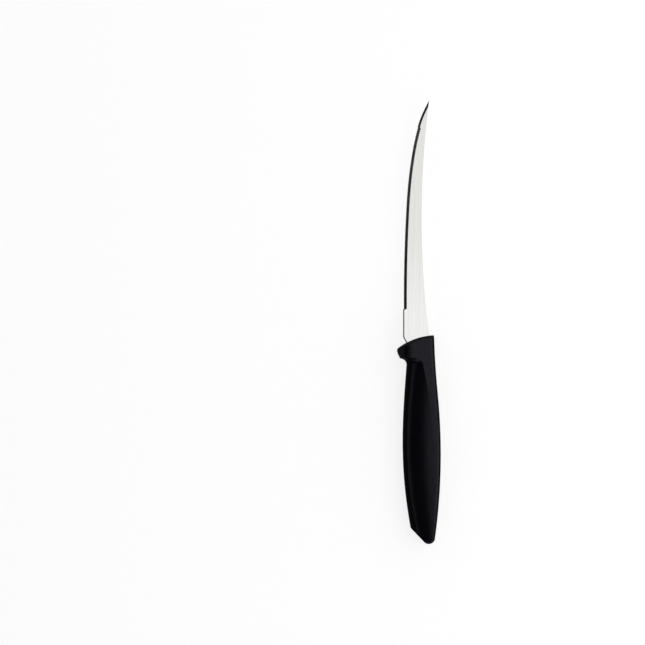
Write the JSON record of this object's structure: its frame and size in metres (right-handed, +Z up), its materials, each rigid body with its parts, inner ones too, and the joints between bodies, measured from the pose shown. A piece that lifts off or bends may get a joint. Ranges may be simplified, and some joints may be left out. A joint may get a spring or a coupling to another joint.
{
  "type": "tomato knife",
  "caption": "Tomato knife with a curved, finely fluted steel blade and a moulded black handle with a finger guard and a slanting butt.",
  "frame": {"origin": "bottom centre of the knife's box, with the knife on its side and the blade's faces level", "axes": "+Y from the handle to the blade's point, +Z up, square to the blade's faces, +X towards the spine"},
  "size_m": [0.0224, 0.227, 0.0148],
  "materials": {
    "steel": "finely polished lengthwise, with a ground edge",
    "black_polypropylene": "smooth, matt, as moulded"
  },
  "bodies": {
    "root": {"blade": "steel", "handle": "black_polypropylene"}
  },
  "joints": []
}
